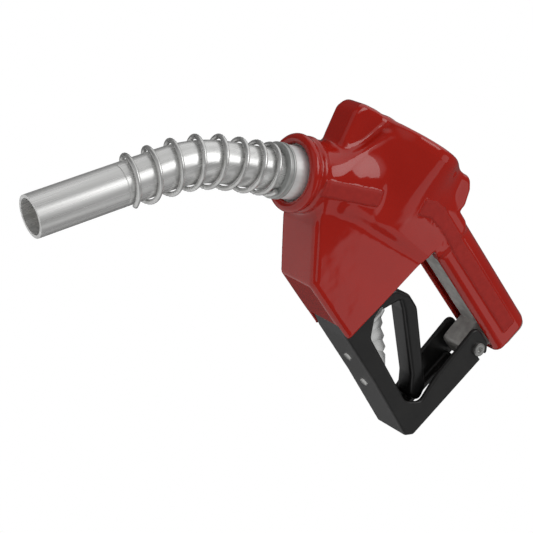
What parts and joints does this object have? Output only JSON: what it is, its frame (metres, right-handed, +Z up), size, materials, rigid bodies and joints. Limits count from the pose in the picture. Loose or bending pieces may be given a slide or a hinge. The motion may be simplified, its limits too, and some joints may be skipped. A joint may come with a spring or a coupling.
{
  "type": "automatic fuel nozzle",
  "caption": "Hand-held fuel dispensing nozzle with a bent spout in a coil spring, a red scuff cover, a squeeze lever in a guard and an automatic shut-off.",
  "frame": {"origin": "centre of the hose inlet's mouth, at the rear end of the handle", "axes": "+X along the inlet, the way the hose leaves; +Z up, with the lever and guard below the handle; the spout points towards -X and down in the plane Y = 0"},
  "size_m": [0.3142, 0.0642, 0.2234],
  "materials": {
    "cast_aluminium": "sand-cast, dull grey",
    "red_vinyl": "dipped vinyl, glossy with soft dents",
    "brass": "turned",
    "cap_plastic": "moulded",
    "zinc_steel": "zinc plated",
    "black_rubber": "moulded",
    "spring_steel": "drawn wire",
    "hard_steel": "ground",
    "acetal": "machined",
    "black_nylon": "satin coated",
    "plated_sheet": "bright plated sheet",
    "white_ptfe": "plain",
    "turned_aluminium": "turned",
    "grey_ring": "matt grey",
    "spout_aluminium": "drawn and polished, with lengthwise streaks",
    "coil_wire": "bright wire",
    "black_guard": "satin black"
  },
  "bodies": {
    "body": {"body_casting": "cast_aluminium", "scuff_cover": "red_vinyl", "inlet_strainer": "brass", "vacuum_cap": "cap_plastic", "cap_screws": "zinc_steel", "diaphragm": "black_rubber", "diaphragm_spring": "spring_steel", "plunger_guide": "acetal", "plunger_spring": "spring_steel", "main_spring": "spring_steel", "valve_cap": "brass", "valve_cap_o_ring": "black_rubber", "valve_seat": "brass", "packing_nut": "brass", "stem_packing": "white_ptfe", "check_spring": "spring_steel", "check_guide": "brass", "spout_adapter": "turned_aluminium", "adapter_o_ring": "black_rubber", "spout_set_screw": "zinc_steel", "spring_ring": "grey_ring", "spout_tube": "spout_aluminium", "spout_spring": "coil_wire", "vacuum_tube": "spout_aluminium", "vacuum_ball_cage": "acetal", "lever_guard": "black_guard", "guard_ear_screws": "zinc_steel", "guard_pin": "zinc_steel", "hold_open_rack": "plated_sheet", "rack_rivets": "zinc_steel"},
    "plunger_set": {"plunger": "hard_steel", "latch_balls": "hard_steel", "lever_pin": "hard_steel"},
    "lever": {"lever": "black_nylon", "clip_pin": "hard_steel"},
    "hold_open_clip": {"hold_open_clip": "plated_sheet"},
    "main_stem": {"main_stem": "hard_steel", "poppet_holder": "brass", "poppet_disc": "black_rubber"},
    "latch": {"latch_pin": "hard_steel", "diaphragm_plate": "zinc_steel", "diaphragm_washer": "zinc_steel"},
    "check_poppet": {"check_poppet": "acetal"},
    "attitude_ball": {"attitude_ball": "hard_steel"}
  },
  "joints": [
    {"name": "plunger_drop", "type": "slide", "parent": "body", "child": "plunger_set", "axis": [0.342, 0, -0.9397], "range_m": [0, 0.004], "stiffness_N_per_m": 4000, "springref_m": -0.001, "deforming": ["plunger_spring"]},
    {"name": "lever_pivot", "type": "hinge", "parent": "plunger_set", "child": "lever", "pos_m": [-0.12693, 0, -0.07773], "axis": [0, -1, 0], "range_deg": [0, 15], "stiffness_Nm_per_rad": 3, "springref_deg": -5.73},
    {"name": "main_stem_lift", "type": "slide", "parent": "body", "child": "main_stem", "axis": [0, 0, 1], "range_m": [0, 0.00417], "deforming": ["main_spring"]},
    {"name": "clip_swing", "type": "hinge", "parent": "lever", "child": "hold_open_clip", "pos_m": [-0.097, 0, -0.066], "axis": [0, -1, 0], "range_deg": [-8, 14], "stiffness_Nm_per_rad": 0.02},
    {"name": "latch_lift", "type": "slide", "parent": "body", "child": "latch", "axis": [-0.342, 0, 0.9397], "range_m": [0, 0.001], "stiffness_N_per_m": 300, "springref_m": -0.001, "deforming": ["diaphragm_spring", "diaphragm"]},
    {"name": "check_open", "type": "slide", "parent": "body", "child": "check_poppet", "axis": [-0.788, 0, -0.6157], "range_m": [0, 0.004], "stiffness_N_per_m": 200, "springref_m": -0.001, "deforming": ["check_spring"]},
    {"name": "ball_roll", "type": "slide", "parent": "body", "child": "attitude_ball", "axis": [0.454, 0, 0.891], "range_m": [0, 0.003]}
  ],
  "couplings": [
    {"joint": "main_stem_lift", "follows": "lever_pivot", "m_per_rad": 0.01593}
  ]
}
